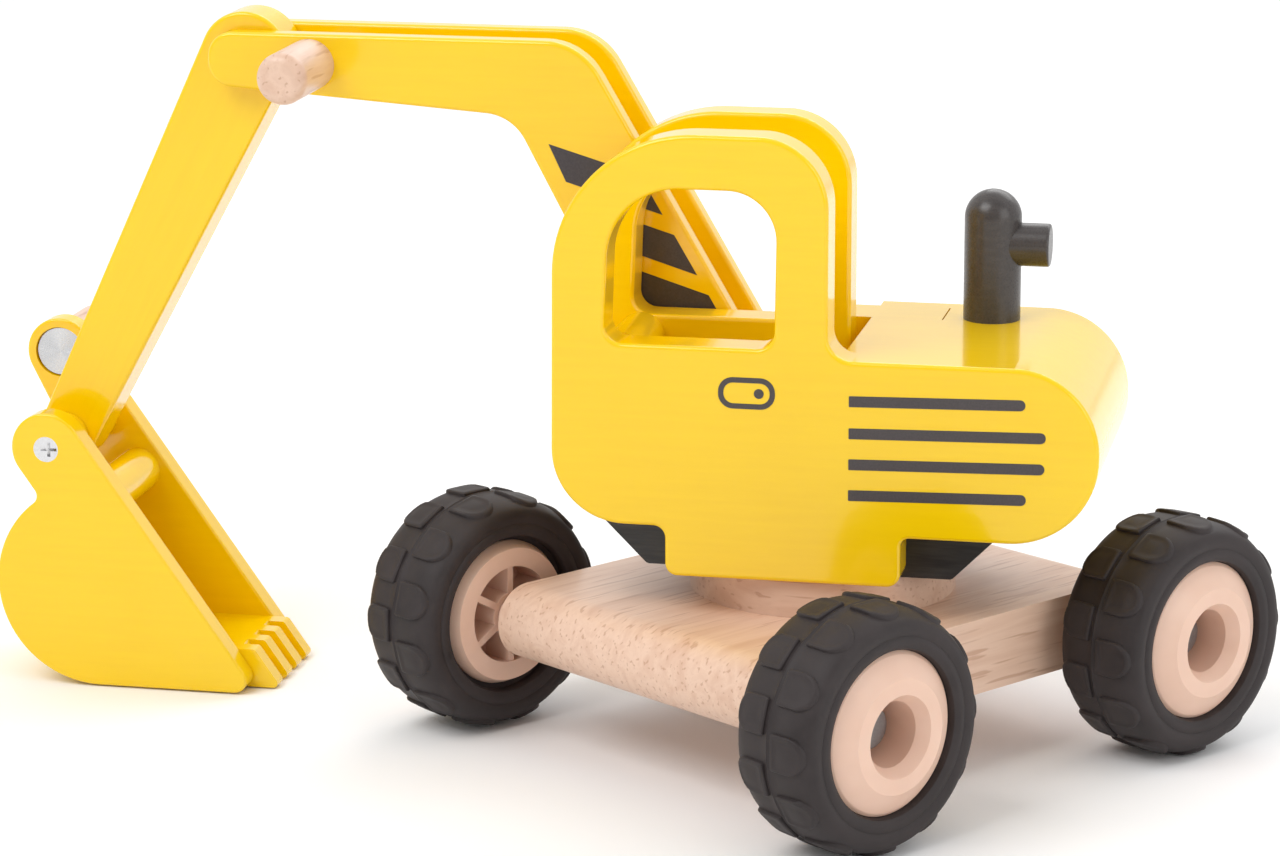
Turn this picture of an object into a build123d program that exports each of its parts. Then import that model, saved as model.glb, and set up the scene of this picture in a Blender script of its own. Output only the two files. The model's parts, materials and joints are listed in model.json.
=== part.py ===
"""Wooden toy excavator: wheeled chassis, slewing body, and a boom, stick and bucket that are moved by hand.

The floor is z = 0.  The boom points towards -X and the body slews about a vertical axis at x = SLEW_X.
Side outlines are lists of (x, z, corner radius), with x measured from the slew axis.
"""

import os

from math import cos, radians, sin

from build123d import *

os.makedirs("parts", exist_ok=True)

# ---- driving dimensions, mm ----
SLEW_X = 63.93  # slew axis, so that the model's box is centred on the origin
SLEW_REST = 35.7  # degrees that the chassis stands turned under the body
FIT = 0.05  # radial clearance of a shaft that turns in its hole
GAP = 0.3  # gap between faces that slide past each other
ROUNDING = 1.2  # rounded edges of the painted boards
FINE_ROUNDING = 0.8  # rounded edges of the smaller parts

WHEEL_RADIUS = 35.0
TRACK = 156.9
WHEELBASE = 128.2
TYRE_WIDTH = 29.3
TYRE_BORE = 21.6
AXLE_RADIUS = 2.5

BOARD_LENGTH = 116.0  # across the wheels
BOARD_THICKNESS = 22.0
BOARD_TOP = WHEEL_RADIUS + BOARD_THICKNESS / 2
DISC_RADIUS = 38.7
DISC_TOP = 57.0
BODY_BOTTOM = DISC_TOP + GAP
BLOCK_TOP = 72.5
DECK_TOP = 121.8
CAB_TOP = 184.1

# layers of the body, y of each face from the near side to the far side
NEAR_OUT, NEAR_IN = -42.0, -30.0
CAB_OUT, CAB_IN = 10.0, -2.0
BOOM_NEAR, BOOM_FAR = 10.4, 41.6
BOOM_PLATE = 7.0
STICK_NEAR, STICK_FAR = 17.8, 34.2
BUCKET_NEAR, BUCKET_FAR = 0.0, 52.0
BUCKET_PLATE = 8.0
BASE_FAR = 38.0

BOOM_PIVOT = (-31.0, 100.0)
STICK_PIVOT = (-178.0, 192.5)
BUCKET_PIVOT = (-238.0, 74.0)
BOOM_PIN_RADIUS = 4.0
STICK_PIN_RADIUS = 4.0
BARREL_RADIUS = 4.0
HANDLE_RADIUS = 7.6
HANDLE_LENGTH = 30.0
HANDLE_ROUNDING = 3.2
PEG_RADIUS = 6.0  # end of a handle dowel where it is turned down to go into a board
BLIND = 5.0  # depth of a hidden pin end in a boom plate

FRONT_X, REAR_X = -71.5, 84.0
POST_X = 7.8
ENGINE_X = 11.0
TONGUE_END_X = 31.5
FAR_PLATE_STEP_Z = 112.0  # underside of the far cab plate's rear post where it meets the engine block

# ---- outlines, (x, z, corner radius) ----
NEAR_PLATE = [
    (FRONT_X, 71.7, 21.0),
    (-38.4, 71.7, 3.5),
    (-38.4, BODY_BOTTOM, 3.5),
    (28.9, BODY_BOTTOM, 4.0),
    (28.9, 71.7, 2.5),
    (REAR_X, 71.7, 25.0),
    (REAR_X, DECK_TOP, 24.0),
    (POST_X, DECK_TOP, 7.0),
    (POST_X, CAB_TOP, 20.0),
    (FRONT_X + 1.0, CAB_TOP, 41.0),
]
FAR_PLATE = [
    (FRONT_X, BLOCK_TOP, 21.0),
    (ENGINE_X, BLOCK_TOP, 0.0),
    (ENGINE_X, FAR_PLATE_STEP_Z, 0.0),
    (POST_X, FAR_PLATE_STEP_Z, 0.0),
    (POST_X, CAB_TOP, 20.0),
    (FRONT_X + 1.0, CAB_TOP, 41.0),
]
WINDOW = [
    (-56.0, 124.2, 5.0),
    (-7.3, 124.2, 5.0),
    (-6.6, 168.7, 14.0),
    (-54.3, 168.7, 21.0),
]
ENGINE = [
    (ENGINE_X, BLOCK_TOP, 0.0),
    (REAR_X, BLOCK_TOP, 24.6),
    (REAR_X, DECK_TOP, 24.0),
    (ENGINE_X, DECK_TOP, 0.0),
]
BASE_BLOCK = [
    (-46.0, BODY_BOTTOM, 2.0),
    (42.0, BODY_BOTTOM, 2.0),
    (57.2, BLOCK_TOP, 0.0),
    (-61.2, BLOCK_TOP, 0.0),
]
TONGUE = [
    (TONGUE_END_X, BLOCK_TOP, 0.0),
    (TONGUE_END_X, DECK_TOP, 0.0),
    (4.0, DECK_TOP, 3.0),
    (-20.0, 114.0, 8.0),
    (-45.0, 114.0, 13.5),
    (-45.0, BLOCK_TOP, 4.0),
]
BOOM = [
    (-45.6, 86.0, 13.0),
    (-19.2, 86.0, 9.0),
    (-12.0, 94.0, 9.0),
    (-74.0, 201.0, 19.0),
    (-187.0, 201.0, 7.5),
    (-187.0, 185.2, 7.5),
    (-94.6, 178.6, 14.0),
]
STICK_TOP_RADIUS = 13.5
STICK_END_RADIUS = 9.0


def side_plane(y_far):
    """Upright plane facing the near side, with local x along +X from the slew axis and local y along +Z."""
    return Plane(origin=(SLEW_X, y_far, 0), x_dir=(1, 0, 0), z_dir=(0, -1, 0))


def outline(corners):
    """Face inside a closed run of straight lines with rounded corners."""
    with BuildSketch() as flat:
        with BuildLine():
            FilletPolyline([(x, z) for x, z, _ in corners], radius=[r for _, _, r in corners], close=True)
        make_face()
    return flat.sketch


def tangent_bar(start, start_radius, end, end_radius):
    """Face of a bar with two round ends of different radii."""
    with BuildSketch() as flat:
        with Locations(start):
            Circle(start_radius)
        with Locations(end):
            Circle(end_radius)
        make_hull()
    return flat.sketch


def faces_across(part):
    """The two large upright faces of a board, whose edges are rounded."""
    return part.faces().filter_by(Axis.Y).sort_by(SortBy.AREA)[-2:]


def wheel_planes():
    """Name and plane of each wheel: local x outwards along the axle, local y up, origin at the wheel's middle."""
    across = Vector(cos(radians(SLEW_REST)), -sin(radians(SLEW_REST)), 0)
    along = Vector(sin(radians(SLEW_REST)), cos(radians(SLEW_REST)), 0)
    up = Vector(0, 0, 1)
    middle = Vector(SLEW_X, 0, WHEEL_RADIUS)
    planes = {}
    for end, along_sign in (("front", -1), ("rear", 1)):
        for side, across_sign in (("left", -1), ("right", 1)):
            outward = across * across_sign
            origin = middle + outward * (TRACK / 2) + along * (along_sign * WHEELBASE / 2)
            planes[f"{end}_{side}"] = Plane(origin=origin, x_dir=outward, z_dir=outward.cross(up))
    return planes


def save(builder, name):
    """Label a finished piece and write it as its own node."""
    builder.part.label = name
    export_step(builder.part, f"parts/{name}.step")


# ======== chassis ========
CHASSIS = Plane(origin=(SLEW_X, 0, 0), x_dir=Vector(1, 0, 0).rotate(Axis.Z, -SLEW_REST), z_dir=(0, 0, 1))
BOLT_RADIUS = 2.5
BOLT_HEAD_RADIUS = 6.0
BOLT_HEAD_HEIGHT = 4.0
BOLT_RECESS_DEPTH = 6.0
BOLT_RECESS_RADIUS = 8.0
BOLT_END = 1.5  # bolt showing above its nut
NUT_RADIUS = 5.5
NUT_HEIGHT = 4.0
NUT_LEDGE = 66.3
NUT_RECESS_RADIUS = 7.0
BOARD_BOTTOM = BOARD_TOP - BOARD_THICKNESS

with BuildPart() as chassis_board:
    with BuildSketch(Plane(CHASSIS.origin, x_dir=CHASSIS.y_dir, z_dir=CHASSIS.x_dir)):
        with Locations((0, WHEEL_RADIUS)):
            SlotOverall(WHEELBASE + BOARD_THICKNESS, BOARD_THICKNESS)
        with Locations((-WHEELBASE / 2, WHEEL_RADIUS), (WHEELBASE / 2, WHEEL_RADIUS)):
            Circle(AXLE_RADIUS, mode=Mode.SUBTRACT)
    extrude(amount=BOARD_LENGTH / 2, both=True)
    with BuildSketch(CHASSIS.offset(BOARD_BOTTOM)):
        Circle(BOLT_RECESS_RADIUS)
    extrude(amount=BOLT_RECESS_DEPTH, mode=Mode.SUBTRACT)
    with BuildSketch(CHASSIS.offset(BOARD_BOTTOM)):
        Circle(BOLT_RADIUS)
    extrude(amount=BOARD_THICKNESS, mode=Mode.SUBTRACT)
save(chassis_board, "chassis_board")

with BuildPart() as turntable_disc:
    with BuildSketch(CHASSIS.offset(BOARD_TOP)):
        Circle(DISC_RADIUS)
        Circle(BOLT_RADIUS, mode=Mode.SUBTRACT)
    extrude(amount=DISC_TOP - BOARD_TOP)
    fillet(turntable_disc.faces().sort_by(Axis.Z)[-1].edges().sort_by(SortBy.LENGTH)[-1], FINE_ROUNDING)
save(turntable_disc, "turntable_disc")

with BuildPart() as slew_bolt:
    with BuildSketch(CHASSIS.offset(BOARD_BOTTOM + BOLT_RECESS_DEPTH)):
        Circle(BOLT_HEAD_RADIUS)
    extrude(amount=-BOLT_HEAD_HEIGHT)
    fillet(slew_bolt.faces().sort_by(Axis.Z)[0].edges(), 1.0)
    with BuildSketch(CHASSIS.offset(BOARD_BOTTOM + BOLT_RECESS_DEPTH)):
        Circle(BOLT_RADIUS)
    extrude(amount=NUT_LEDGE + NUT_HEIGHT + BOLT_END - BOARD_BOTTOM - BOLT_RECESS_DEPTH)
save(slew_bolt, "slew_bolt")

with BuildPart() as slew_nut:
    with BuildSketch(CHASSIS.offset(NUT_LEDGE + GAP)):
        RegularPolygon(NUT_RADIUS, 6)
        Circle(BOLT_RADIUS, mode=Mode.SUBTRACT)
    extrude(amount=NUT_HEIGHT)
save(slew_nut, "slew_nut")

# ======== wheels ========
WEB = 3.0
CAP_RADIUS = 6.0
CAP_LENGTH = 5.0
CAP_END = 1.2  # closed end of the cap beyond the axle
BOSS_BACK = -13.2
RIM_FACE = 11.5
RIM_RADIUS = 22.9
BACK_FACE = -13.7
BACK_RING_RADIUS = 19.8
BACK_RING_BORE = 14.4
BACK_BOSS_RADIUS = 6.5
RIB_COUNT = 6
RIB_THICKNESS = 2.0
HUB_PROFILE = [
    (RIM_FACE, RIM_RADIUS),
    (RIM_FACE + 1.0, 21.9),
    (15.6, 16.9),
    (16.2, 16.0),
    (16.3, 11.6),
    (12.8, 9.2),
    (0.0, 8.8),
    (0.0, AXLE_RADIUS + FIT),
    (BOSS_BACK, AXLE_RADIUS + FIT),
    (BOSS_BACK, BACK_BOSS_RADIUS),
    (-WEB, BACK_BOSS_RADIUS),
    (-WEB, BACK_RING_BORE),
    (BACK_FACE, BACK_RING_BORE),
    (BACK_FACE, BACK_RING_RADIUS),
    (-10.0, TYRE_BORE - 0.1),
    (9.6, TYRE_BORE - 0.1),
    (9.6, RIM_RADIUS),
]
HALF_TYRE = TYRE_WIDTH / 2
TYRE_PROFILE = [
    (-10.2, TYRE_BORE, 0.5),
    (9.6, TYRE_BORE, 0.0),
    (9.6, RIM_RADIUS + 0.1, 0.0),
    (HALF_TYRE - 2.0, RIM_RADIUS + 0.1, 1.2),
    (HALF_TYRE, 27.0, 4.0),
    (HALF_TYRE, 31.5, 3.0),
    (10.5, WHEEL_RADIUS, 3.0),
    (-10.5, WHEEL_RADIUS, 3.0),
    (-HALF_TYRE, 31.5, 3.0),
    (-HALF_TYRE, 27.0, 4.0),
    (-HALF_TYRE + 2.0, RIM_RADIUS + 0.1, 1.2),
    (-10.2, RIM_RADIUS + 0.1, 0.5),
]

for wheel, plane in wheel_planes().items():
    spin_axis = Axis(plane.origin, plane.x_dir)
    with BuildPart() as hub:
        with BuildSketch(plane):
            with BuildLine():
                Polyline(*HUB_PROFILE, close=True)
            make_face()
        revolve(axis=spin_axis)
        with BuildSketch(Plane(plane.origin, x_dir=plane.y_dir, z_dir=plane.x_dir).offset(-WEB)):
            with PolarLocations((BACK_BOSS_RADIUS + BACK_RING_BORE) / 2, RIB_COUNT):
                Rectangle(BACK_RING_BORE - BACK_BOSS_RADIUS + 1.0, RIB_THICKNESS)
        extrude(amount=BOSS_BACK + WEB)
    save(hub, f"{wheel}_hub")

    with BuildPart() as tyre:
        with BuildSketch(plane):
            add(outline(TYRE_PROFILE))
        revolve(axis=spin_axis)
    save(tyre, f"{wheel}_tyre")

AXLE_HALF = TRACK / 2 + GAP + CAP_LENGTH - CAP_END
for end, along_sign in (("front", -1), ("rear", 1)):
    centre = CHASSIS.origin + CHASSIS.y_dir * (along_sign * WHEELBASE / 2) + Vector(0, 0, WHEEL_RADIUS)
    axle_plane = Plane(centre, z_dir=CHASSIS.x_dir)
    with BuildPart() as axle:
        with BuildSketch(axle_plane):
            Circle(AXLE_RADIUS)
        extrude(amount=AXLE_HALF, both=True)
        chamfer(axle.edges().filter_by(GeomType.CIRCLE), 0.4)
    save(axle, f"{end}_axle")

with BuildPart() as axle_caps:
    for plane in wheel_planes().values():
        cap_plane = Plane(plane.origin, z_dir=plane.x_dir)
        with BuildSketch(cap_plane.offset(GAP)):
            Circle(CAP_RADIUS)
        extrude(amount=CAP_LENGTH)
        with BuildSketch(cap_plane.offset(GAP)):
            Circle(AXLE_RADIUS)
        extrude(amount=CAP_LENGTH - CAP_END, mode=Mode.SUBTRACT)
    fillet(axle_caps.edges().filter_by(GeomType.CIRCLE).group_by(SortBy.RADIUS)[-1], 0.5)
save(axle_caps, "axle_caps")

SPACER_RADIUS = 5.0
SPACER_START = BOARD_LENGTH / 2 - TRACK / 2
with BuildPart() as axle_spacers:
    for plane in wheel_planes().values():
        with BuildSketch(Plane(plane.origin, z_dir=plane.x_dir).offset(SPACER_START)):
            Circle(SPACER_RADIUS)
            Circle(AXLE_RADIUS, mode=Mode.SUBTRACT)
        extrude(amount=BOSS_BACK - GAP - SPACER_START)
save(axle_spacers, "axle_spacers")

# ======== slewing body ========
EXHAUST_X, EXHAUST_Y = 45.4, 23.0
EXHAUST_RADIUS = 8.3
EXHAUST_TOP = 160.0
STUB_RADIUS = 6.3
STUB_Z = 144.0
STUB_END = 16.8
TIE_DOWEL = (-53.4, 117.9)
TIE_RADIUS = 6.9
NOTCH_SLACK = 0.4  # play behind the boom tongue in its notch in the engine block

with BuildPart() as near_cab_plate:
    with BuildSketch(side_plane(NEAR_IN)):
        add(outline(NEAR_PLATE))
        add(outline(WINDOW), mode=Mode.SUBTRACT)
    extrude(amount=NEAR_IN - NEAR_OUT)
    fillet(near_cab_plate.faces().sort_by(Axis.Y)[0].edges(), ROUNDING)
save(near_cab_plate, "near_cab_plate")

with BuildPart() as far_cab_plate:
    with BuildSketch(side_plane(CAB_OUT)):
        add(outline(FAR_PLATE))
        add(outline(WINDOW), mode=Mode.SUBTRACT)
    extrude(amount=CAB_OUT - CAB_IN)
    upper_edges = faces_across(far_cab_plate).edges()
    fillet(upper_edges.filter_by(lambda e: e.center().Z > FAR_PLATE_STEP_Z + ROUNDING), ROUNDING)
save(far_cab_plate, "far_cab_plate")

with BuildPart() as engine_block:
    with BuildSketch(side_plane(BOOM_FAR)):
        add(outline(ENGINE))
    extrude(amount=BOOM_FAR - NEAR_IN)
    with BuildSketch(side_plane(STICK_FAR)):
        with Locations((ENGINE_X, BLOCK_TOP)):
            Rectangle(
                TONGUE_END_X + NOTCH_SLACK - ENGINE_X,
                DECK_TOP - BLOCK_TOP,
                align=(Align.MIN, Align.MIN),
            )
    extrude(amount=STICK_FAR - STICK_NEAR, mode=Mode.SUBTRACT)
    far_edges = engine_block.faces().sort_by(Axis.Y)[-1].edges()
    fillet(far_edges.filter_by(lambda e: e.center().Z > BLOCK_TOP + ROUNDING), ROUNDING)
save(engine_block, "engine_block")

with BuildPart() as boom_tongue:
    with BuildSketch(side_plane(STICK_FAR)):
        add(outline(TONGUE))
        with Locations(BOOM_PIVOT):
            Circle(BOOM_PIN_RADIUS + FIT, mode=Mode.SUBTRACT)
    extrude(amount=STICK_FAR - STICK_NEAR)
save(boom_tongue, "boom_tongue")

with BuildPart() as base_block:
    with BuildSketch(side_plane(BASE_FAR)):
        add(outline(BASE_BLOCK))
    extrude(amount=BASE_FAR - NEAR_IN)
    with BuildSketch(CHASSIS.offset(BODY_BOTTOM)):
        Circle(BOLT_RADIUS + FIT)
    extrude(amount=BLOCK_TOP - BODY_BOTTOM, mode=Mode.SUBTRACT)
    with BuildSketch(CHASSIS.offset(NUT_LEDGE)):
        Circle(NUT_RECESS_RADIUS)
    extrude(amount=BLOCK_TOP - NUT_LEDGE, mode=Mode.SUBTRACT)
save(base_block, "base_block")

with BuildPart() as exhaust_stack:
    with BuildSketch(Plane.XY.offset(DECK_TOP)):
        with Locations((SLEW_X + EXHAUST_X, EXHAUST_Y)):
            Circle(EXHAUST_RADIUS)
    extrude(amount=EXHAUST_TOP - EXHAUST_RADIUS - DECK_TOP)
    with Locations((SLEW_X + EXHAUST_X, EXHAUST_Y, EXHAUST_TOP - EXHAUST_RADIUS)):
        Sphere(EXHAUST_RADIUS)
    with BuildSketch(Plane((SLEW_X + EXHAUST_X, EXHAUST_Y, STUB_Z), z_dir=(1, 0, 0))):
        Circle(STUB_RADIUS)
    extrude(amount=EXHAUST_RADIUS + 1.0, mode=Mode.SUBTRACT)
save(exhaust_stack, "exhaust_stack")

with BuildPart() as exhaust_stub:
    with BuildSketch(Plane((SLEW_X + EXHAUST_X, EXHAUST_Y, STUB_Z), z_dir=(1, 0, 0))):
        Circle(STUB_RADIUS)
    extrude(amount=STUB_END)
    fillet(exhaust_stub.edges().group_by(Axis.X)[-1], FINE_ROUNDING)
save(exhaust_stub, "exhaust_stub")

with BuildPart() as cab_cross_dowel:
    with BuildSketch(side_plane(CAB_IN)):
        with Locations(TIE_DOWEL):
            Circle(TIE_RADIUS)
    extrude(amount=CAB_IN - NEAR_IN)
save(cab_cross_dowel, "cab_cross_dowel")

# ======== boom ========
HANDLE = (-155.7, 192.1)
NEAR_INNER_FACE = BOOM_NEAR + BOOM_PLATE
FAR_INNER_FACE = BOOM_FAR - BOOM_PLATE
BOOM_PINS = {
    "boom_pivot_pin": (BOOM_PIVOT, BOOM_PIN_RADIUS),
    "stick_pivot_pin": (STICK_PIVOT, STICK_PIN_RADIUS),
}

for name, y_far, hole_far in (
    ("boom_near_plate", NEAR_INNER_FACE, NEAR_INNER_FACE),
    ("boom_far_plate", BOOM_FAR, FAR_INNER_FACE + BLIND),
):
    with BuildPart() as boom_plate:
        with BuildSketch(side_plane(y_far)):
            add(outline(BOOM))
        extrude(amount=BOOM_PLATE)
        fillet(faces_across(boom_plate).edges(), ROUNDING)
        for pivot, radius in BOOM_PINS.values():
            with BuildSketch(side_plane(hole_far)):
                with Locations(pivot):
                    Circle(radius)
            extrude(amount=BLIND, mode=Mode.SUBTRACT)
        if name == "boom_near_plate":
            with BuildSketch(side_plane(y_far)):
                with Locations(HANDLE):
                    Circle(PEG_RADIUS)
            extrude(amount=BOOM_PLATE, mode=Mode.SUBTRACT)
    save(boom_plate, name)

PIN_HALF = (FAR_INNER_FACE - NEAR_INNER_FACE) / 2 + BLIND
BOOM_MIDDLE = (BOOM_NEAR + BOOM_FAR) / 2
for name, (pivot, radius) in BOOM_PINS.items():
    with BuildPart() as pin:
        with BuildSketch(side_plane(BOOM_MIDDLE)):
            with Locations(pivot):
                Circle(radius)
        extrude(amount=PIN_HALF, both=True)
    save(pin, name)

BOOM_SPACER = (-84.0, 188.0)
BOOM_SPACER_RADIUS = 6.0
with BuildPart() as boom_spacer:
    with BuildSketch(side_plane(FAR_INNER_FACE)):
        with Locations(BOOM_SPACER):
            Circle(BOOM_SPACER_RADIUS)
    extrude(amount=FAR_INNER_FACE - NEAR_INNER_FACE)
save(boom_spacer, "boom_spacer")

with BuildPart() as boom_handle:
    with BuildSketch(side_plane(NEAR_INNER_FACE)):
        with Locations(HANDLE):
            Circle(PEG_RADIUS)
    extrude(amount=BOOM_PLATE)
    with BuildSketch(side_plane(BOOM_NEAR)):
        with Locations(HANDLE):
            Circle(HANDLE_RADIUS)
    extrude(amount=HANDLE_LENGTH)
    fillet(boom_handle.faces().sort_by(Axis.Y)[0].edges(), HANDLE_ROUNDING)
save(boom_handle, "boom_handle")

# ======== stick ========
with BuildPart() as stick_plank:
    with BuildSketch(side_plane(STICK_FAR)):
        add(tangent_bar(STICK_PIVOT, STICK_TOP_RADIUS, BUCKET_PIVOT, STICK_END_RADIUS))
    extrude(amount=STICK_FAR - STICK_NEAR)
    fillet(faces_across(stick_plank).edges(), ROUNDING)
    with BuildSketch(side_plane(STICK_FAR)):
        with Locations(STICK_PIVOT):
            Circle(STICK_PIN_RADIUS + FIT)
        with Locations(BUCKET_PIVOT):
            Circle(BARREL_RADIUS + FIT)
    extrude(amount=STICK_FAR - STICK_NEAR, mode=Mode.SUBTRACT)
save(stick_plank, "stick_plank")

# ======== bucket ========
EAR_RADIUS = 11.0
BULGE_CENTRE = (-223.5, 32.0)
BULGE_RADIUS = 31.5
FRONT_SLOPE = 55.0  # degrees from the floor to the straight front edge
NECK_LENGTH = 12.0  # straight part from the ear down to the round back
NECK_ROUNDING = 3.0
LIP_ROUNDING = 4.0
WALL = 6.0
FLOOR_THICKNESS = 11.8
CROSS_DOWEL = (-224.0, 57.5)
CROSS_DOWEL_RADIUS = 7.0
LEVER_EYE = (-248.5, 94.0)
LEVER_EYE_RADIUS = 10.5
EYE_DISC_RADIUS = 7.4
EYE_DISC_THICKNESS = 1.4
EYE_RECESS_SLACK = 0.4
EYE_RECESS_DEPTH = 2.4
HANDLE_PEG_LENGTH = 4.4
SCREW_HEAD_RADIUS = 3.9
SCREW_HEAD_DEPTH = 2.6
SCREW_RADIUS = 1.8
SCREW_LENGTH = 16.0
SLOT_LENGTH = 4.4
SLOT_WIDTH = 0.9
SLOT_DEPTH = 1.6
TOOTH_COUNT = 4
TOOTH_WIDTH = 5.4
TOOTH_REACH = 4.2  # square to the front edge
TOOTH_ROUNDING = 1.4
PIVOT_RING_RADIUS = 7.5

INNER_NEAR = BUCKET_NEAR + BUCKET_PLATE
INNER_FAR = BUCKET_FAR - BUCKET_PLATE
INSIDE_WIDTH = INNER_FAR - INNER_NEAR
LIP_Z = BULGE_CENTRE[1] - BULGE_RADIUS
FLOOR_TOP = LIP_Z + FLOOR_THICKNESS
DOWN_FRONT = (cos(radians(FRONT_SLOPE)), -sin(radians(FRONT_SLOPE)))
OUT_FRONT = (sin(radians(FRONT_SLOPE)), cos(radians(FRONT_SLOPE)))


def beside_pivot(out, down):
    """Point at a distance outwards from the bucket pivot and then down along the front edge's direction."""
    x = BUCKET_PIVOT[0] + out * OUT_FRONT[0] + down * DOWN_FRONT[0]
    z = BUCKET_PIVOT[1] + out * OUT_FRONT[1] + down * DOWN_FRONT[1]
    return (x, z)


def front_edge(z, reach=0.0):
    """Point at height z on the front edge line, or on the line a distance in front of it."""
    out = EAR_RADIUS + reach
    down = (BUCKET_PIVOT[1] + out * OUT_FRONT[1] - z) / -DOWN_FRONT[1]
    return beside_pivot(out, down)


def bucket_side():
    """Side outline of the bucket: pivot ear, neck, round back, flat bottom and straight front edge."""
    ear_top = beside_pivot(EAR_RADIUS, 0)
    lip = front_edge(LIP_Z)
    neck = beside_pivot(-EAR_RADIUS, NECK_LENGTH)
    clear = 2 * BULGE_RADIUS
    with BuildSketch() as flat:
        with Locations(BULGE_CENTRE):
            Circle(BULGE_RADIUS)
        with BuildLine():
            Polyline(ear_top, lip, (lip[0] + clear, LIP_Z), (lip[0] + clear, ear_top[1]), close=True)
        make_face(mode=Mode.SUBTRACT)
        with BuildLine():
            Polyline(
                ear_top,
                beside_pivot(-EAR_RADIUS, 0),
                neck,
                BULGE_CENTRE,
                (BULGE_CENTRE[0], LIP_Z),
                lip,
                close=True,
            )
        make_face()
        with Locations(BUCKET_PIVOT):
            Circle(EAR_RADIUS)
        fillet(flat.vertices().sort_by(Axis.X)[-1], LIP_ROUNDING)
        fillet(flat.vertices().sort_by_distance((neck[0], neck[1], 0))[0], NECK_ROUNDING)
    return flat.sketch


def floor_profile(reach):
    """Side profile of the bucket floor, hollowed at the back to follow the round back board."""
    with BuildSketch() as flat:
        with BuildLine():
            Polyline(
                (BULGE_CENTRE[0], LIP_Z),
                front_edge(LIP_Z, reach),
                front_edge(FLOOR_TOP, reach),
                (BULGE_CENTRE[0], FLOOR_TOP),
                close=True,
            )
        make_face()
        with Locations(BULGE_CENTRE):
            Circle(BULGE_RADIUS - WALL, mode=Mode.SUBTRACT)
    return flat.sketch


for name, y_far, outer_face, head_bottom in (
    ("bucket_near_side", INNER_NEAR, BUCKET_NEAR, BUCKET_NEAR + SCREW_HEAD_DEPTH),
    ("bucket_far_side", BUCKET_FAR, BUCKET_FAR, BUCKET_FAR - SCREW_HEAD_DEPTH),
):
    with BuildPart() as bucket_plate:
        with BuildSketch(side_plane(y_far)):
            add(bucket_side())
            if name == "bucket_far_side":
                add(tangent_bar(BUCKET_PIVOT, EAR_RADIUS, LEVER_EYE, LEVER_EYE_RADIUS))
        extrude(amount=BUCKET_PLATE)
        fillet(faces_across(bucket_plate).edges(), FINE_ROUNDING)
        with BuildSketch(side_plane(y_far)):
            with Locations(BUCKET_PIVOT):
                Circle(SCREW_RADIUS)
        extrude(amount=BUCKET_PLATE, mode=Mode.SUBTRACT)
        with BuildSketch(side_plane(head_bottom)):
            with Locations(BUCKET_PIVOT):
                Circle(SCREW_RADIUS)
        with BuildSketch(side_plane(outer_face)):
            with Locations(BUCKET_PIVOT):
                Circle(SCREW_HEAD_RADIUS)
        loft(mode=Mode.SUBTRACT)
        if name == "bucket_far_side":
            with BuildSketch(side_plane(INNER_FAR + EYE_RECESS_DEPTH)):
                with Locations(LEVER_EYE):
                    Circle(EYE_DISC_RADIUS + EYE_RECESS_SLACK)
            extrude(amount=EYE_RECESS_DEPTH, mode=Mode.SUBTRACT)
            with BuildSketch(side_plane(BUCKET_FAR)):
                with Locations(LEVER_EYE):
                    Circle(PEG_RADIUS)
            extrude(amount=HANDLE_PEG_LENGTH, mode=Mode.SUBTRACT)
    save(bucket_plate, name)

BACK_TOP = BULGE_CENTRE[1] + 20.0
with BuildPart() as bucket_back:
    with BuildSketch(side_plane(INNER_FAR)):
        with Locations(BULGE_CENTRE):
            Circle(BULGE_RADIUS)
            Circle(BULGE_RADIUS - WALL, mode=Mode.SUBTRACT)
        with Locations((BULGE_CENTRE[0] - BULGE_RADIUS, BACK_TOP)):
            Rectangle(2 * BULGE_RADIUS, BULGE_RADIUS, align=(Align.MIN, Align.MIN), mode=Mode.SUBTRACT)
        with Locations(BULGE_CENTRE):
            Rectangle(BULGE_RADIUS, 2 * BULGE_RADIUS, align=(Align.MIN, Align.CENTER), mode=Mode.SUBTRACT)
    extrude(amount=INSIDE_WIDTH)
save(bucket_back, "bucket_back")

with BuildPart() as bucket_floor:
    with BuildSketch(side_plane(INNER_FAR)):
        add(floor_profile(0.0))
    extrude(amount=INSIDE_WIDTH)
    pitch = (INSIDE_WIDTH - TOOTH_WIDTH) / (TOOTH_COUNT - 1)
    for index in range(TOOTH_COUNT):
        with BuildSketch(side_plane(INNER_NEAR + TOOTH_WIDTH + index * pitch)):
            add(floor_profile(TOOTH_REACH))
        extrude(amount=TOOTH_WIDTH)
    tooth_tips = bucket_floor.edges().filter_by(Axis.Y).filter_by(
        lambda e: e.center().X - SLEW_X > front_edge(e.center().Z)[0] + FIT
    )
    fillet(tooth_tips, TOOTH_ROUNDING)
save(bucket_floor, "bucket_floor")

with BuildPart() as bucket_cross_dowel:
    with BuildSketch(side_plane(INNER_FAR)):
        with Locations(CROSS_DOWEL):
            Circle(CROSS_DOWEL_RADIUS)
    extrude(amount=INSIDE_WIDTH)
save(bucket_cross_dowel, "bucket_cross_dowel")

with BuildPart() as bucket_pivot_barrel:
    with BuildSketch(side_plane(INNER_FAR)):
        with Locations(BUCKET_PIVOT):
            Circle(BARREL_RADIUS)
            Circle(SCREW_RADIUS, mode=Mode.SUBTRACT)
    extrude(amount=INSIDE_WIDTH)
save(bucket_pivot_barrel, "bucket_pivot_barrel")

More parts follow.
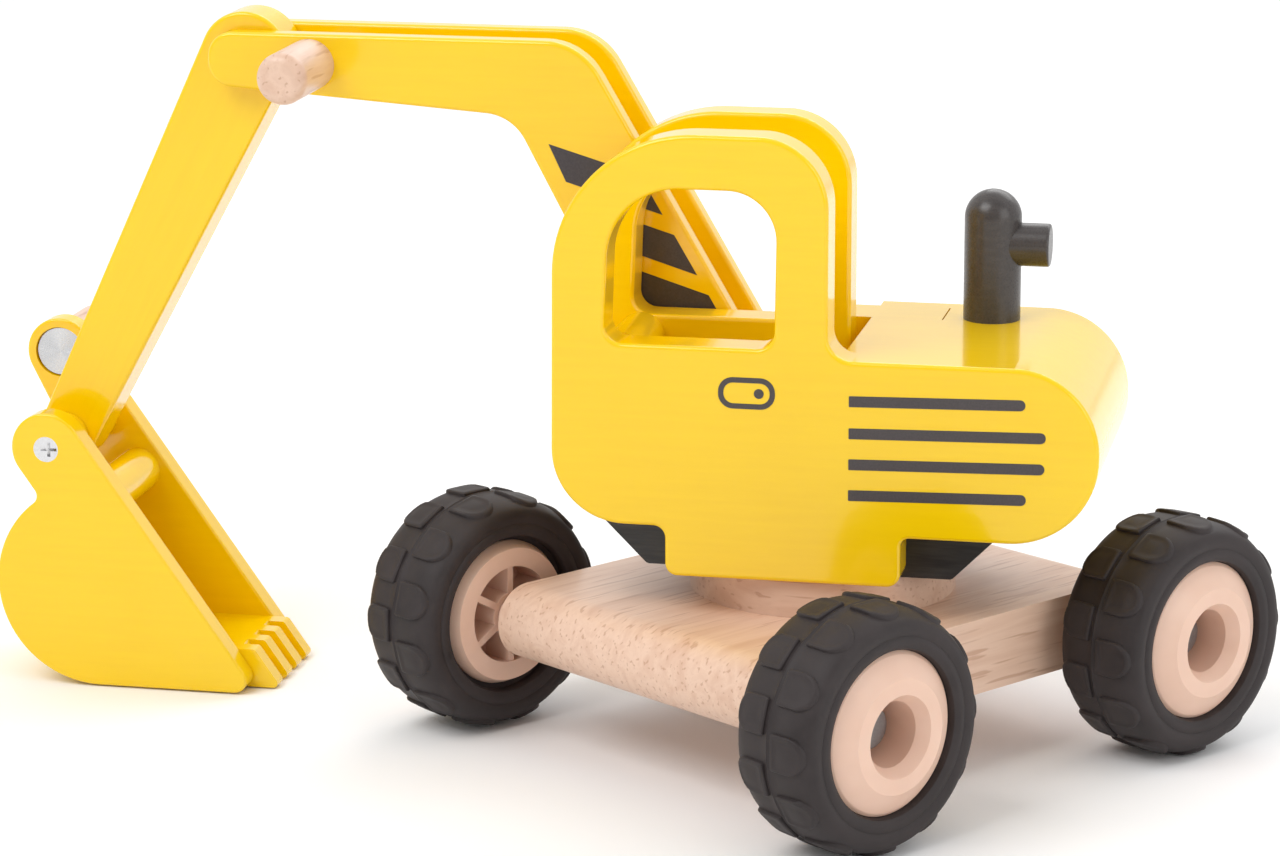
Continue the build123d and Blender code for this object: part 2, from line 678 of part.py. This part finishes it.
NEAR_RING_LENGTH = STICK_NEAR - GAP - INNER_NEAR
FAR_RING_LENGTH = INNER_FAR - STICK_FAR - GAP
with BuildPart() as bucket_pivot_spacers:
    for y_far, length in ((STICK_NEAR - GAP, NEAR_RING_LENGTH), (INNER_FAR, FAR_RING_LENGTH)):
        with BuildSketch(side_plane(y_far)):
            with Locations(BUCKET_PIVOT):
                Circle(PIVOT_RING_RADIUS)
                Circle(BARREL_RADIUS, mode=Mode.SUBTRACT)
        extrude(amount=length)
save(bucket_pivot_spacers, "bucket_pivot_spacers")

for name, y_face, inward in (("near_pivot_screw", BUCKET_NEAR, 1), ("far_pivot_screw", BUCKET_FAR, -1)):
    head = Plane(origin=(SLEW_X + BUCKET_PIVOT[0], y_face, BUCKET_PIVOT[1]), x_dir=(1, 0, 0), z_dir=(0, -inward, 0))
    with BuildPart() as screw:
        with BuildSketch(head.offset(-SCREW_HEAD_DEPTH)):
            Circle(SCREW_RADIUS)
        with BuildSketch(head):
            Circle(SCREW_HEAD_RADIUS)
        loft()
        with BuildSketch(head.offset(-SCREW_LENGTH)):
            Circle(SCREW_RADIUS)
        extrude(amount=SCREW_LENGTH - SCREW_HEAD_DEPTH)
        with BuildSketch(head.offset(-SLOT_DEPTH).rotated((0, 0, 30))):
            Rectangle(SLOT_LENGTH, SLOT_WIDTH)
            Rectangle(SLOT_WIDTH, SLOT_LENGTH)
        extrude(amount=2 * SLOT_DEPTH, mode=Mode.SUBTRACT)
    save(screw, name)

with BuildPart() as lever_disc:
    with BuildSketch(side_plane(INNER_FAR + EYE_RECESS_DEPTH)):
        with Locations(LEVER_EYE):
            Circle(EYE_DISC_RADIUS)
    extrude(amount=EYE_DISC_THICKNESS)
save(lever_disc, "lever_disc")

with BuildPart() as bucket_handle:
    with BuildSketch(side_plane(BUCKET_FAR)):
        with Locations(LEVER_EYE):
            Circle(PEG_RADIUS)
    extrude(amount=HANDLE_PEG_LENGTH)
    with BuildSketch(side_plane(BUCKET_FAR + HANDLE_LENGTH)):
        with Locations(LEVER_EYE):
            Circle(HANDLE_RADIUS)
    extrude(amount=HANDLE_LENGTH)
    fillet(bucket_handle.faces().sort_by(Axis.Y)[-1].edges(), HANDLE_ROUNDING)
save(bucket_handle, "bucket_handle")
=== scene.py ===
"""Looks of the wooden toy excavator.

Glossy yellow boards, natural beech, moulded hubs, lugged rubber tyres and printed marks.
Outlines of marks and tyres are in mm; the row frame is in metres.
"""

import json
from math import atan2, cos, pi, radians, sin

import bmesh
import bpy
from mathutils import Matrix, Vector


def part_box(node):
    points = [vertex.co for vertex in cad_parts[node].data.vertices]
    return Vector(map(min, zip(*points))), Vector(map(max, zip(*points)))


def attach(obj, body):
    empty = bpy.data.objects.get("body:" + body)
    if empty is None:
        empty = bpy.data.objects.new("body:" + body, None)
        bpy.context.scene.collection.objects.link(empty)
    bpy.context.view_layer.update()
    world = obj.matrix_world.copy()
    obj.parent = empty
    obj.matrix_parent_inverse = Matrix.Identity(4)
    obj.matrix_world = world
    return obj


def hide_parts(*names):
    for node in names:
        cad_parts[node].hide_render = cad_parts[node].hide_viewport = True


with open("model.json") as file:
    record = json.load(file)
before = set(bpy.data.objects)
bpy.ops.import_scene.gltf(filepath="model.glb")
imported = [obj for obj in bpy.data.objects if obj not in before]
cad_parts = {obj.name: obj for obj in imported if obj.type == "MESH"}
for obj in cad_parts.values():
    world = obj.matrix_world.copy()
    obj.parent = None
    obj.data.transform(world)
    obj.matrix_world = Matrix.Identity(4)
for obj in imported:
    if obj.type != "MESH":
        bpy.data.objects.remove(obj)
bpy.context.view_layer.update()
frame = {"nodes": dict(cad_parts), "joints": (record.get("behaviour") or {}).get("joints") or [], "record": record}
nodes = frame["nodes"]
MM = 0.001
NOISE_LOW, NOISE_HIGH = 0.3, 0.7  # the part of a noise texture's range that is used

# ---- places that come from the frame ----
JOINTS = {joint["name"]: joint for joint in frame["joints"]}
SLEW_X = JOINTS["slew"]["pos_m"][0]
WHEELS = ("front_left", "front_right", "rear_left", "rear_right")
WHEEL_RADIUS = 35 * MM
NEAR_FACE_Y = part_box("near_cab_plate")[0].y
BOOM_FACE_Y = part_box("boom_near_plate")[0].y
AXLE = Vector(JOINTS["rear_right_spin"]["axis"])
BOARD_TURN = atan2(AXLE.x, -AXLE.y)  # from +X to the chassis board's long direction
STICK = Vector(JOINTS["stick_swing"]["pos_m"]) - Vector(JOINTS["bucket_curl"]["pos_m"])
STICK_TILT = atan2(STICK.z, STICK.x)


# ======== node helpers ========
def new_material(name):
    """Empty material with a Principled shader; returns the material, its node tree and the shader."""
    material = bpy.data.materials.new(name)
    material.use_nodes = True
    tree = material.node_tree
    return material, tree, tree.nodes["Principled BSDF"]


def link(tree, source, target):
    """Join an output socket to an input socket."""
    tree.links.new(source, target)


def position(tree, scale=(1, 1, 1), rotation=(0, 0, 0)):
    """Object coordinates in millimetres, along axes turned by the rotation and then stretched."""
    coordinates = tree.nodes.new("ShaderNodeTexCoord")
    mapping = tree.nodes.new("ShaderNodeMapping")
    mapping.vector_type = "TEXTURE"
    mapping.inputs["Scale"].default_value = tuple(MM / s for s in scale)
    mapping.inputs["Rotation"].default_value = rotation
    link(tree, coordinates.outputs["Object"], mapping.inputs["Vector"])
    return mapping.outputs["Vector"]


def noise(tree, vector, scale, detail=3.0, roughness=0.5, distortion=0.0):
    """Noise value over a vector in mm, so a scale of 1 gives spots about 1 mm wide."""
    node = tree.nodes.new("ShaderNodeTexNoise")
    node.inputs["Scale"].default_value = scale
    node.inputs["Detail"].default_value = detail
    node.inputs["Roughness"].default_value = roughness
    node.inputs["Distortion"].default_value = distortion
    link(tree, vector, node.inputs["Vector"])
    return node.outputs["Fac"]


def ramp(tree, value, stops):
    """Colour ramp from (position, colour) stops."""
    node = tree.nodes.new("ShaderNodeValToRGB")
    elements = node.color_ramp.elements
    while len(elements) < len(stops):
        elements.new(0.5)
    for element, (place, colour) in zip(elements, stops):
        element.position = place
        element.color = (*colour, 1.0)
    link(tree, value, node.inputs["Fac"])
    return node.outputs["Color"]


def map_range(tree, value, low, high, to_low, to_high):
    """Value from low..high, moved to to_low..to_high and held within them."""
    node = tree.nodes.new("ShaderNodeMapRange")
    for key, number in (("From Min", low), ("From Max", high), ("To Min", to_low), ("To Max", to_high)):
        node.inputs[key].default_value = number
    link(tree, value, node.inputs["Value"])
    return node.outputs["Result"]


def spread(tree, value, to_low, to_high):
    """A noise value's usual range, spread between two numbers."""
    return map_range(tree, value, NOISE_LOW, NOISE_HIGH, to_low, to_high)


def mix_colour(tree, factor, first, second):
    """Mix of two colours, each a socket or a plain colour."""
    node = tree.nodes.new("ShaderNodeMix")
    node.data_type = "RGBA"
    for key, value in (("Factor", factor), ("A", first), ("B", second)):
        socket = node.inputs[key]
        if isinstance(value, bpy.types.NodeSocket):
            link(tree, value, socket)
        elif isinstance(value, tuple):
            socket.default_value = (*value, 1.0)
        else:
            socket.default_value = value
    return node.outputs["Result"]


def add_bump(tree, shader, heights):
    """Chain of bumps: (height socket, strength, distance in mm)."""
    previous = None
    for height, strength, distance in heights:
        bump = tree.nodes.new("ShaderNodeBump")
        bump.inputs["Strength"].default_value = strength
        bump.inputs["Distance"].default_value = distance * MM
        link(tree, height, bump.inputs["Height"])
        if previous is not None:
            link(tree, previous, bump.inputs["Normal"])
        previous = bump.outputs["Normal"]
    link(tree, previous, shader.inputs["Normal"])


# ======== materials ========
def yellow_lacquer(name, grain_turn=0.0):
    """Thick glossy yellow paint over a board, with faint grain, orange peel and slightly paler clouds."""
    material, tree, shader = new_material(name)
    along = position(tree, (0.06, 0.9, 0.9), (0, grain_turn, 0))
    even = position(tree)
    grain = noise(tree, along, 0.5, 5.0, 0.6, 0.3)
    peel = noise(tree, even, 0.42, 2.0, 0.5)
    cloud = noise(tree, even, 0.022, 2.0, 0.5)
    base = ramp(tree, grain, [(0.25, (0.90, 0.565, 0.0)), (0.75, (0.94, 0.61, 0.0))])
    shade = spread(tree, cloud, 0.0, 0.35)
    colour = mix_colour(tree, shade, base, (0.95, 0.635, 0.002))
    link(tree, colour, shader.inputs["Base Color"])
    rough = spread(tree, cloud, 0.10, 0.17)
    link(tree, rough, shader.inputs["Roughness"])
    shader.inputs["Coat Weight"].default_value = 0.25
    shader.inputs["Coat Roughness"].default_value = 0.04
    add_bump(tree, shader, [(grain, 0.10, 0.25), (peel, 0.09, 0.16)])
    return material


def beech(name, stretch, tone=1.0):
    """Clear-finished beech: long pores and flecks along one direction."""
    material, tree, shader = new_material(name)
    vector = position(tree, stretch["scale"], stretch["rotation"])
    bands = noise(tree, vector, 0.16, 3.0, 0.55, 0.6)
    fibres = noise(tree, vector, 1.4, 4.0, 0.65)
    flecks = noise(tree, vector, 0.75, 1.0, 0.4)
    pale = (0.79 * tone, 0.555 * tone, 0.42 * tone)
    middle = (0.69 * tone, 0.445 * tone, 0.32 * tone)
    dark = (0.50 * tone, 0.27 * tone, 0.17 * tone)
    base = ramp(tree, bands, [(0.3, middle), (0.55, pale), (0.8, middle)])
    streak = map_range(tree, fibres, 0.52, 0.78, 0.0, 0.55)
    with_fibres = mix_colour(tree, streak, base, middle)
    spot = map_range(tree, flecks, 0.62, 0.70, 0.0, 0.6)
    colour = mix_colour(tree, spot, with_fibres, dark)
    link(tree, colour, shader.inputs["Base Color"])
    link(tree, spread(tree, fibres, 0.34, 0.5), shader.inputs["Roughness"])
    shader.inputs["Coat Weight"].default_value = 0.25
    shader.inputs["Coat Roughness"].default_value = 0.25
    add_bump(tree, shader, [(fibres, 0.15, 0.12), (flecks, 0.1, 0.1)])
    return material


def stained_wood(name, colour, light, roughness):
    """Dark stain or paint through which the wood's pores still show."""
    material, tree, shader = new_material(name)
    vector = position(tree, (0.08, 1.0, 1.0))
    pores = noise(tree, vector, 0.8, 4.0, 0.6)
    fine = noise(tree, position(tree), 1.6, 3.0)
    base = ramp(tree, pores, [(0.35, colour), (0.75, light)])
    link(tree, base, shader.inputs["Base Color"])
    gloss = spread(tree, fine, roughness - 0.05, roughness + 0.08)
    link(tree, gloss, shader.inputs["Roughness"])
    add_bump(tree, shader, [(pores, 0.16, 0.15), (fine, 0.08, 0.08)])
    return material


def moulded_plastic():
    """Peach-beige satin moulding with fine spark texture."""
    material, tree, shader = new_material("hub_plastic")
    even = position(tree)
    spark = noise(tree, even, 2.2, 2.0)
    cloud = noise(tree, even, 0.07, 2.0)
    base = ramp(tree, cloud, [(0.3, (0.76, 0.505, 0.385)), (0.7, (0.81, 0.555, 0.43))])
    link(tree, base, shader.inputs["Base Color"])
    link(tree, spread(tree, spark, 0.33, 0.45), shader.inputs["Roughness"])
    shader.inputs["Subsurface Weight"].default_value = 0.08
    shader.inputs["Subsurface Radius"].default_value = (0.004, 0.002, 0.001)
    add_bump(tree, shader, [(spark, 0.12, 0.05)])
    return material


def tyre_rubber():
    """Matte brown-black rubber with a dusty bloom and fine mould texture."""
    material, tree, shader = new_material("tyre_rubber")
    even = position(tree)
    bloom = noise(tree, even, 0.09, 4.0, 0.6)
    fine = noise(tree, even, 2.6, 3.0)
    base = ramp(tree, bloom, [(0.3, (0.022, 0.016, 0.016)), (0.75, (0.042, 0.033, 0.033))])
    link(tree, base, shader.inputs["Base Color"])
    link(tree, spread(tree, bloom, 0.52, 0.68), shader.inputs["Roughness"])
    shader.inputs["Specular IOR Level"].default_value = 0.35
    add_bump(tree, shader, [(fine, 0.22, 0.08)])
    return material


def circles_about(tree, centre):
    """Direction of circles round an axis along Y through the centre."""
    coordinates = tree.nodes.new("ShaderNodeTexCoord")
    offset = tree.nodes.new("ShaderNodeVectorMath")
    offset.operation = "SUBTRACT"
    offset.inputs[1].default_value = centre
    link(tree, coordinates.outputs["Object"], offset.inputs[0])
    cross = tree.nodes.new("ShaderNodeVectorMath")
    cross.operation = "CROSS_PRODUCT"
    cross.inputs[1].default_value = (0, 1, 0)
    link(tree, offset.outputs["Vector"], cross.inputs[0])
    unit = tree.nodes.new("ShaderNodeVectorMath")
    unit.operation = "NORMALIZE"
    link(tree, cross.outputs["Vector"], unit.inputs[0])
    return unit.outputs["Vector"]


def steel(name, tone=0.66, roughness=0.22, turned_about=None):
    """Zinc steel; a face turned about a centre gets circular brushing and its bow-tie highlight."""
    material, tree, shader = new_material(name)
    even = position(tree)
    brush = noise(tree, even, 1.2, 3.0)
    low, high = tone * 0.9, tone * 1.08
    base = ramp(tree, brush, [(0.3, (low, low, low * 1.02)), (0.7, (high, high, high * 1.01))])
    link(tree, base, shader.inputs["Base Color"])
    gloss = spread(tree, brush, roughness - 0.05, roughness + 0.05)
    link(tree, gloss, shader.inputs["Roughness"])
    shader.inputs["Metallic"].default_value = 1.0
    if turned_about:
        shader.inputs["Anisotropic"].default_value = 0.9
        link(tree, circles_about(tree, turned_about), shader.inputs["Tangent"])
    add_bump(tree, shader, [(brush, 0.05, 0.03)])
    return material


def printed_ink(name, colour):
    """Matte screen-printed ink with faint speckle."""
    material, tree, shader = new_material(name)
    speckle = noise(tree, position(tree), 1.8, 3.0, 0.7)
    base = ramp(tree, speckle, [(0.3, colour), (0.8, tuple(c * 1.5 + 0.01 for c in colour))])
    link(tree, base, shader.inputs["Base Color"])
    link(tree, spread(tree, speckle, 0.30, 0.42), shader.inputs["Roughness"])
    add_bump(tree, shader, [(speckle, 0.1, 0.04)])
    return material


yellow = yellow_lacquer("yellow_lacquer")
yellow_stick = yellow_lacquer("yellow_lacquer_stick", -STICK_TILT)
ALONG_X = {"scale": (0.07, 1, 1), "rotation": (0, 0, 0)}
ALONG_Y = {"scale": (1, 0.07, 1), "rotation": (0, 0, 0)}
ALONG_BOARD = {"scale": (0.07, 1, 1), "rotation": (0, 0, BOARD_TURN)}
board_beech = beech("beech_board", ALONG_BOARD, 1.02)
disc_beech = beech("beech_disc", ALONG_X, 0.9)
handle_beech = beech("beech_handle", ALONG_Y, 0.96)
black_stain = stained_wood("black_stain", (0.012, 0.012, 0.013), (0.04, 0.038, 0.037), 0.42)
grey_paint = stained_wood("dark_grey_paint", (0.040, 0.034, 0.033), (0.062, 0.054, 0.052), 0.28)
plastic = moulded_plastic()
rubber = tyre_rubber()
zinc = steel("zinc_steel")
dull_steel = steel("dull_steel", tone=0.30, roughness=0.40)
disc_low, disc_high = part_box("lever_disc")
turned_steel = steel("turned_steel", 0.60, 0.25, turned_about=(disc_low + disc_high) / 2)
print_ink = printed_ink("print_ink", (0.045, 0.036, 0.036))
stripe_ink = printed_ink("stripe_ink", (0.035, 0.028, 0.032))

BY_NODE = {
    "stick_plank": yellow_stick,
    "chassis_board": board_beech,
    "turntable_disc": disc_beech,
    "boom_handle": handle_beech,
    "bucket_handle": handle_beech,
    "base_block": black_stain,
    "exhaust_stack": grey_paint,
    "exhaust_stub": grey_paint,
    "lever_disc": turned_steel,
    "axle_caps": dull_steel,
}
BY_SLOT = {
    "yellow_lacquer": yellow,
    "hub_plastic": plastic,
    "tyre_rubber": rubber,
    "zinc_steel": zinc,
}


def paint_nodes():
    """Give each node its own material, or else its slot's."""
    for subpart in frame["record"]["subparts"]:
        node = nodes[subpart["node"]]
        chosen = BY_NODE.get(subpart["node"]) or BY_SLOT[subpart["material_slot"]]
        if node.material_slots:
            for material_slot in node.material_slots:
                material_slot.material = chosen
        else:
            node.data.materials.append(chosen)


paint_nodes()

# ======== mesh helpers ========
def add_piece(name, mesh, material, body):
    """Put a finished mesh on stage as a piece that rides on a body."""
    piece = bpy.data.objects.new(name, mesh)
    bpy.context.scene.collection.objects.link(piece)
    mesh.materials.append(material)
    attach(piece, body)
    return piece


def shade_smooth(mesh, angle):
    """Smooth shading with sharp edges kept where faces meet at more than the angle."""
    for polygon in mesh.polygons:
        polygon.use_smooth = True
    mesh.set_sharp_from_angle(angle=angle)


def finished_mesh(shape, name):
    """Mesh of a built shape, with its normals outwards."""
    bmesh.ops.recalc_face_normals(shape, faces=shape.faces)
    mesh = bpy.data.meshes.new(name)
    shape.to_mesh(mesh)
    shape.free()
    return mesh


def plate_from_outline(points, y_face, depth):
    """Closed thin plate in an upright plane: outline points (x, z), from y_face back by depth."""
    shape = bmesh.new()
    front = [shape.verts.new((x, y_face, z)) for x, z in points]
    back = [shape.verts.new((x, y_face + depth, z)) for x, z in points]
    shape.faces.new(front)
    shape.faces.new(list(reversed(back)))
    count = len(points)
    for i in range(count):
        j = (i + 1) % count
        shape.faces.new((front[i], back[i], back[j], front[j]))
    return finished_mesh(shape, "plate")


def rounded_rectangle(x0, z0, x1, z1, radii, steps=8):
    """Outline points; radii are for the corners (x1,z0), (x1,z1), (x0,z1), (x0,z0) in turn."""
    corners = (
        (x1 - radii[0], z0 + radii[0], -90, radii[0]),
        (x1 - radii[1], z1 - radii[1], 0, radii[1]),
        (x0 + radii[2], z1 - radii[2], 90, radii[2]),
        (x0 + radii[3], z0 + radii[3], 180, radii[3]),
    )
    points = []
    for x, z, start, radius in corners:
        for i in range(steps + 1):
            turn = radians(start + 90 * i / steps)
            points.append((x + radius * cos(turn), z + radius * sin(turn)))
    return points


# ======== printed marks ========
INK = 0.12 * MM
INK_SINK = 0.06 * MM


def at_body(points):
    """Outline in mm from the slew axis, moved into the row frame in metres."""
    return [(SLEW_X + x * MM, z * MM) for x, z in points]


def print_mark(name, points, y_face, material, body):
    """Thin plate of ink on a near face, sunk a little into it so that no gap shows."""
    mesh = plate_from_outline(at_body(points), y_face - INK, INK + INK_SINK)
    return add_piece(name, mesh, material, body)


def vent_row():
    """Four printed vents: square ends at the left, round ends at the right, rising slightly to the right."""
    left_x = 14.1
    half = 3.1 / 2
    slope = 0.022
    round_end = half * 0.98
    square_end = 0.25
    radii = (round_end, round_end, square_end, square_end)
    for index, (right_x, z) in enumerate(((63.4, 110.6), (69.2, 101.4), (69.0, 92.5), (64.0, 83.6))):
        outline = rounded_rectangle(left_x, z - half, right_x, z + half, radii)
        leaning = [(x, zz + (x - left_x) * slope) for x, zz in outline]
        print_mark(f"vent_print_{index + 1}", leaning, NEAR_FACE_Y, print_ink, "body")


def ring_mesh(outer, inner, y_face, depth):
    """Closed flat ring between two outlines with the same number of points."""
    shape = bmesh.new()
    loops = []
    for points, y in ((outer, y_face), (inner, y_face), (inner, y_face + depth), (outer, y_face + depth)):
        loops.append([shape.verts.new((x, y, z)) for x, z in points])
    count = len(outer)
    for a in range(4):
        first, second = loops[a], loops[(a + 1) % 4]
        for i in range(count):
            j = (i + 1) % count
            shape.faces.new((first[i], first[j], second[j], second[i]))
    return finished_mesh(shape, "ring")


def door_handle():
    """Printed door handle: a rounded frame with a round lock."""
    outer = rounded_rectangle(-23.0, 107.1, -6.8, 116.1, (4.2,) * 4)
    inner = rounded_rectangle(-21.5, 108.6, -8.3, 114.6, (2.8,) * 4)
    ring = ring_mesh(at_body(outer), at_body(inner), NEAR_FACE_Y - INK, INK + INK_SINK)
    add_piece("door_handle_print", ring, print_ink, "body")
    lock_x, lock_z, lock_radius, lock_steps = -11.4, 111.6, 1.4, 32
    turns = [2 * pi * i / lock_steps for i in range(lock_steps)]
    lock = [(lock_x + lock_radius * cos(turn), lock_z + lock_radius * sin(turn)) for turn in turns]
    print_mark("door_lock_print", lock, NEAR_FACE_Y, print_ink, "body")


def warning_stripes():
    """Three slanted bars across the boom's lower leg, between two lines inset from the leg's edges."""
    low_line = Vector((-83.6, 170.9)), Vector((-63.1, 127.1))
    high_line = Vector((-56.5, 162.8)), Vector((-29.2, 116.2))
    pitch, thickness = 0.375, 0.25  # as shares of the lines' length
    for index in range(3):
        start = index * pitch
        end = start + thickness
        places = ((low_line, start), (high_line, start), (high_line, end), (low_line, end))
        corners = [tuple(line[0].lerp(line[1], t)) for line, t in places]
        print_mark(f"boom_stripe_{index + 1}", corners, BOOM_FACE_Y, stripe_ink, "boom")


vent_row()
door_handle()
warning_stripes()

# ======== tyres ========
TREAD_STEPS = 180
SMOOTH_ANGLE = radians(38)
LUGS = 12
LUG_HALF_TURN = radians(8.6)
LUG_START = 1.5
LUG_STRAIGHT_END = 8.2
LUG_END = 12.9
LUG_HEIGHT = 1.0
LUG_TOP = WHEEL_RADIUS / MM - 0.02  # just inside the CAD tyre
TYRE_BORE = 21.6
SIDE_PROFILE = (
    (9.4, TYRE_BORE), (10.1, 23.1), (12.4, 23.1), (13.5, 23.6), (14.2, 25.0), (14.3, 26.4),
    (13.9, 27.1), (14.2, 27.8), (14.4, 29.4), (14.0, 31.0),
)
PARTING_LINE = ((0.5, 0.0), (0.0, 0.35), (-0.5, 0.0))  # across, rise
CROWN_RADIUS = 34.0
CROWN_FALL = 0.004
SHOULDER_START = 8.0
SHOULDER_FALL = 0.055


def crown(x):
    """Radius of the plain tread at a distance across from the middle, falling away at the shoulder."""
    shoulder = max(0.0, abs(x) - SHOULDER_START)
    return CROWN_RADIUS - CROWN_FALL * x * x - SHOULDER_FALL * shoulder * shoulder


def tyre_section():
    """Closed half of the tyre's section, from bore to bore over the tread: (across, radius) in mm."""
    across = (13.1, 12.2, 11.0, 9.0, 6.0, 3.0)
    right = list(SIDE_PROFILE) + [(x, crown(x)) for x in across]
    middle = [(x, crown(x) + rise) for x, rise in PARTING_LINE]
    left = [(-x, radius) for x, radius in reversed(right)]
    return right + middle + left


def wheel_matrix(wheel):
    """Wheel frame: local x outwards along the axle, local z up."""
    joint = JOINTS[f"{wheel}_spin"]
    across = Vector(joint["axis"]).normalized()
    centre = Vector(joint["pos_m"])
    outward = across if (centre - Vector((SLEW_X, 0, centre.z))).dot(across) > 0 else -across
    up = Vector((0, 0, 1))
    rows = Matrix((outward, up.cross(outward), up)).transposed()
    return Matrix.Translation(centre) @ rows.to_4x4()


def lug_outline(steps=9):
    """D-shaped outline of a pad, straight towards the middle and round towards the side: (across, turn)."""
    reach = LUG_END - LUG_STRAIGHT_END
    # along one straight side, with a cut corner: across, and turn as a share of LUG_HALF_TURN
    edge = [(LUG_START, -0.92), (LUG_START + 0.7, -1.0), (LUG_STRAIGHT_END * 0.6, -1.0)]
    points = [(x, t * LUG_HALF_TURN) for x, t in edge]
    for i in range(steps + 1):
        angle = pi * i / steps - pi / 2
        points.append((LUG_STRAIGHT_END + reach * cos(angle), LUG_HALF_TURN * sin(angle)))
    points += [(x, -t * LUG_HALF_TURN) for x, t in reversed(edge)]
    return points


def add_lug(shape, middle_turn, side):
    """One raised tread pad with a bevelled edge and a slightly sunk middle, on one shoulder."""
    centre = (LUG_START + LUG_END) / 2
    # each ring: size about the pad's middle, and rise as a share of LUG_HEIGHT
    rings = ((1.03, -0.4), (1.0, 0.75), (0.95, 1.0), (0.80, 1.0), (0.76, 0.86), (0.45, 0.86), (0.15, 0.86))
    loops = []
    for spread, height in rings:
        loop = []
        for across, turn in lug_outline():
            x = centre + (across - centre) * spread
            angle = middle_turn + turn * spread
            radius = min(crown(x) + height * LUG_HEIGHT, LUG_TOP)
            loop.append(shape.verts.new((side * x, radius * sin(angle), radius * cos(angle))))
        loops.append(loop)
    count = len(loops[0])
    for first, second in zip(loops, loops[1:]):
        for i in range(count):
            j = (i + 1) % count
            shape.faces.new((first[i], first[j], second[j], second[i]))
    shape.faces.new(loops[-1])
    shape.faces.new(list(reversed(loops[0])))


def tyre_mesh():
    """Tyre turned from its section, with alternating lug pads on both shoulders, in wheel axes."""
    shape = bmesh.new()
    section = tyre_section()
    rings = []
    for step in range(TREAD_STEPS):
        turn = 2 * pi * step / TREAD_STEPS
        rings.append([shape.verts.new((x, r * sin(turn), r * cos(turn))) for x, r in section])
    count = len(section)
    for step in range(TREAD_STEPS):
        first, second = rings[step], rings[(step + 1) % TREAD_STEPS]
        for i in range(count):
            j = (i + 1) % count
            shape.faces.new((first[i], first[j], second[j], second[i]))
    for lug in range(LUGS):
        turn = 2 * pi * lug / LUGS
        add_lug(shape, turn, 1)
        add_lug(shape, turn + pi / LUGS, -1)
    bmesh.ops.scale(shape, vec=(MM, MM, MM), verts=shape.verts)
    mesh = finished_mesh(shape, "tyre")
    shade_smooth(mesh, SMOOTH_ANGLE)
    return mesh


base_tyre = tyre_mesh()
for wheel in WHEELS:
    mesh = base_tyre.copy()
    mesh.transform(wheel_matrix(wheel))
    tyre = add_piece(f"{wheel}_lugged_tyre", mesh, rubber, f"{wheel}_wheel")
    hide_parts(f"{wheel}_tyre")


# ======== floor, light, camera ========
LIGHT_TARGET = Vector((0, 0, 0.09))
CAMERA_PLACE = Vector((SLEW_X + 0.1959, -1.1685, 0.3833))
CAMERA_YAW, CAMERA_PITCH, CAMERA_ROLL = 0.211, 0.241, 0.003


def make_floor():
    """Wide pale floor under the toy."""
    mesh = bpy.data.meshes.new("floor")
    half = 6.0
    corners = [(-half, -half, 0), (half, -half, 0), (half, half, 0), (-half, half, 0)]
    mesh.from_pydata(corners, [], [(0, 1, 2, 3)])
    floor = bpy.data.objects.new("floor", mesh)
    bpy.context.scene.collection.objects.link(floor)
    material, tree, shader = new_material("pale_floor")
    shader.inputs["Base Color"].default_value = (0.93, 0.93, 0.93, 1)
    shader.inputs["Roughness"].default_value = 0.9
    mesh.materials.append(material)


def area_light(name, place, size, power):
    """Rectangular lamp aimed at the middle of the toy."""
    light = bpy.data.lights.new(name, "AREA")
    light.shape = "RECTANGLE"
    light.size, light.size_y = size
    light.energy = power
    lamp = bpy.data.objects.new(name, light)
    lamp.location = place
    lamp.rotation_euler = (LIGHT_TARGET - Vector(place)).to_track_quat("-Z", "Y").to_euler()
    bpy.context.scene.collection.objects.link(lamp)


def make_world():
    """White all round, falling off to grey behind the camera so that near faces don't mirror it."""
    world = bpy.data.worlds.new("studio")
    world.use_nodes = True
    tree = world.node_tree
    coordinates = tree.nodes.new("ShaderNodeTexCoord")
    split = tree.nodes.new("ShaderNodeSeparateXYZ")
    link(tree, coordinates.outputs["Generated"], split.inputs["Vector"])
    strength = map_range(tree, split.outputs["Y"], -0.9, 0.1, 0.42, 1.0)
    background = tree.nodes["Background"]
    background.inputs["Color"].default_value = (1, 1, 1, 1)
    link(tree, strength, background.inputs["Strength"])
    bpy.context.scene.world = world


def make_light():
    """White surroundings and three large soft lamps."""
    make_world()
    area_light("key", (-0.8, -1.0, 1.6), (1.2, 1.0), 17)
    area_light("fill", (1.4, -0.9, 0.7), (1.0, 1.0), 6)
    area_light("rim", (0.4, 1.3, 1.2), (1.6, 0.8), 8)


def make_camera():
    """Camera in front of the near side, a little to the rear and above, looking slightly down."""
    yaw, pitch, roll = CAMERA_YAW, CAMERA_PITCH, CAMERA_ROLL
    forward = Vector((-sin(yaw) * cos(pitch), cos(yaw) * cos(pitch), -sin(pitch)))
    right = Vector((cos(yaw), sin(yaw), 0))
    down = forward.cross(right)
    right_rolled = right * cos(roll) + down * sin(roll)
    up = right * sin(roll) - down * cos(roll)
    camera = bpy.data.cameras.new("camera")
    camera.sensor_width = 36
    camera.lens = 118.4
    camera.clip_start = 0.05
    holder = bpy.data.objects.new("camera", camera)
    axes = Matrix((right_rolled, up, -forward)).transposed().to_4x4()
    holder.matrix_world = Matrix.Translation(CAMERA_PLACE) @ axes
    bpy.context.scene.collection.objects.link(holder)
    bpy.context.scene.camera = holder


def set_colour_view():
    """Plain view transform, so that the bright yellow and the white surroundings stay clean."""
    view = bpy.context.scene.view_settings
    view.view_transform = "Standard"
    view.look = "None"
    view.exposure = 0.0


make_floor()
make_light()
make_camera()
set_colour_view()
